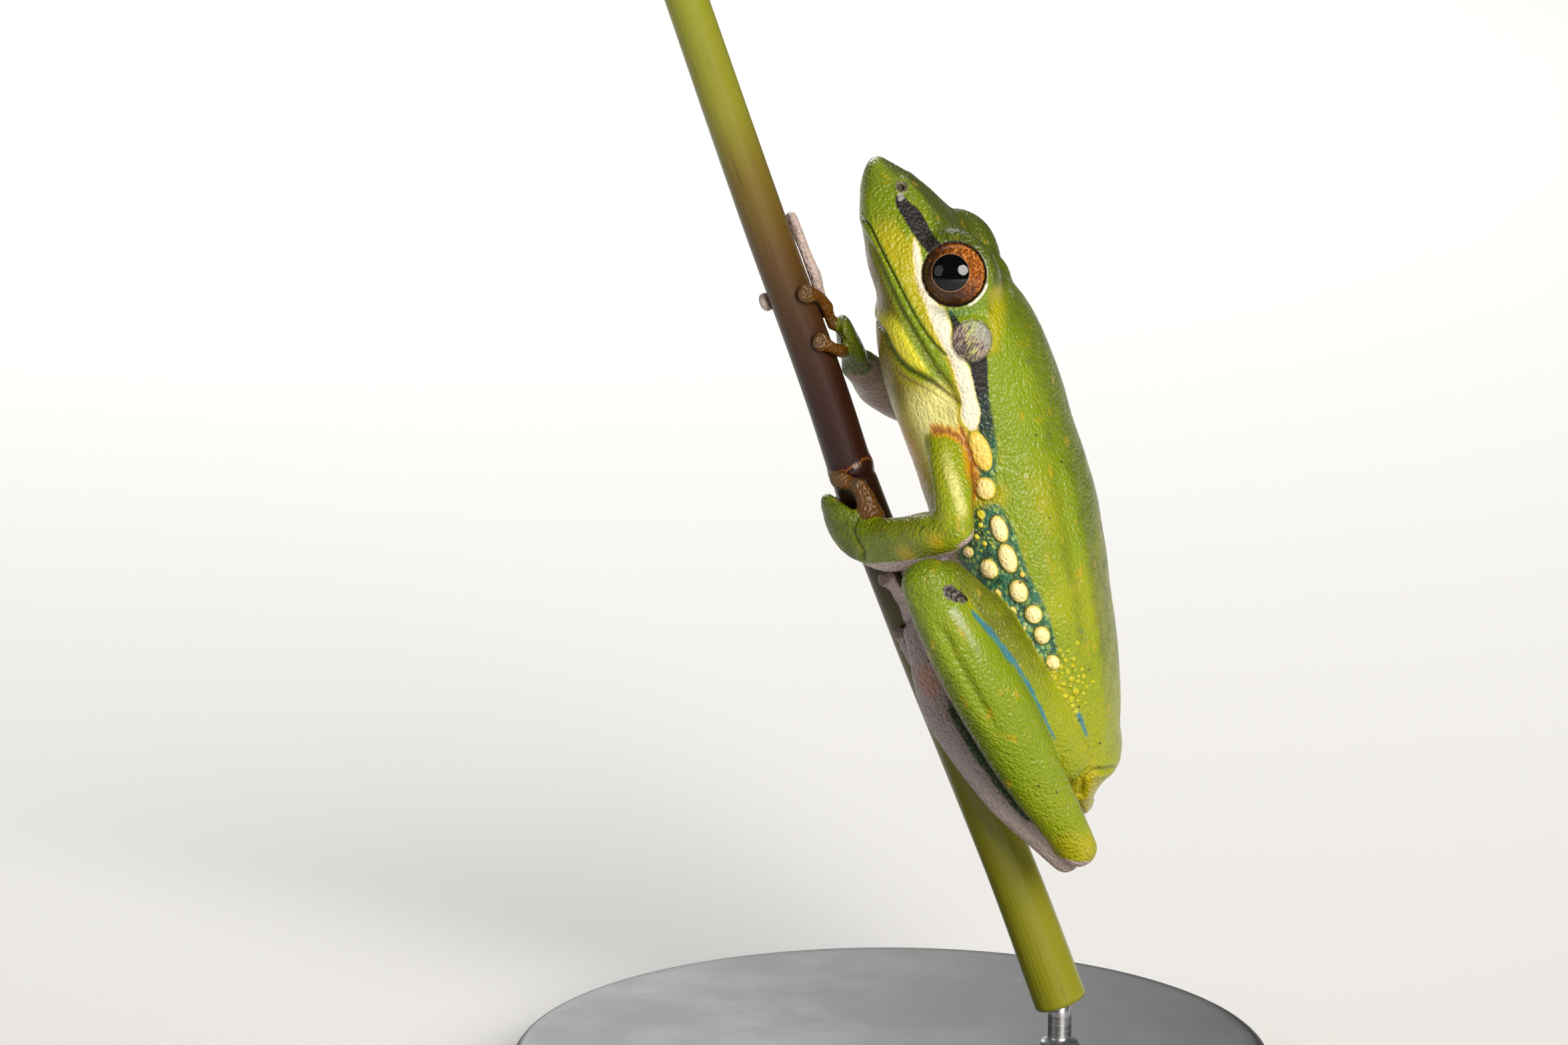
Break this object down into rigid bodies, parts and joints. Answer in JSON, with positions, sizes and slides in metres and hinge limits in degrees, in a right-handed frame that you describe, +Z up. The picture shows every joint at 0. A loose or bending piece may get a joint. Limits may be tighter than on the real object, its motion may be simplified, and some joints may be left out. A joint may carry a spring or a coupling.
{
  "type": "still model of a wallum sedge frog on a cut reed",
  "caption": "Life-size still model of a green wallum sedge frog, head up, gripping a slanting cut reed held by a plain round stand.",
  "frame": {"origin": "centre of the stand's underside, on the floor", "axes": "+Z up; +X the way the frog's back faces in the picture; the frog's left side faces -Y"},
  "size_m": [0.032, 0.032, 0.0484],
  "materials": {
    "green_skin": "moist, finely granular skin",
    "throat_skin": "moist, softly folded skin",
    "pale_skin": "moist, smooth skin",
    "amber_skin": "moist, translucent skin",
    "ear_skin": "thin drum of skin",
    "eye_copper": "clear and glossy",
    "reed_stem": "waxy green stem, brown to maroon in its middle length",
    "stand_paint": "satin black",
    "stand_steel": "brushed"
  },
  "bodies": {
    "root": {"torso": "green_skin", "head": "green_skin", "lower_jaw": "throat_skin", "eye_left": "eye_copper", "tympanum_left": "ear_skin", "upper_arm_left": "green_skin", "forearm_left": "green_skin", "hand_left": "green_skin", "finger_left_1": "amber_skin", "finger_left_2": "amber_skin", "finger_left_3": "amber_skin", "finger_left_4": "amber_skin", "thigh_left": "green_skin", "shank_left": "green_skin", "tarsus_left": "pale_skin", "foot_left": "pale_skin", "toe_left_1": "pale_skin", "toe_left_2": "pale_skin", "toe_left_3": "pale_skin", "toe_left_4": "pale_skin", "toe_left_5": "pale_skin", "eye_right": "eye_copper", "tympanum_right": "ear_skin", "upper_arm_right": "green_skin", "forearm_right": "green_skin", "hand_right": "green_skin", "finger_right_1": "amber_skin", "finger_right_2": "amber_skin", "finger_right_3": "amber_skin", "finger_right_4": "amber_skin", "thigh_right": "green_skin", "shank_right": "green_skin", "tarsus_right": "pale_skin", "foot_right": "pale_skin", "toe_right_1": "pale_skin", "toe_right_2": "pale_skin", "toe_right_3": "pale_skin", "toe_right_4": "pale_skin", "toe_right_5": "pale_skin", "reed": "reed_stem", "stand_base": "stand_paint", "stand_rod": "stand_steel"}
  },
  "joints": []
}
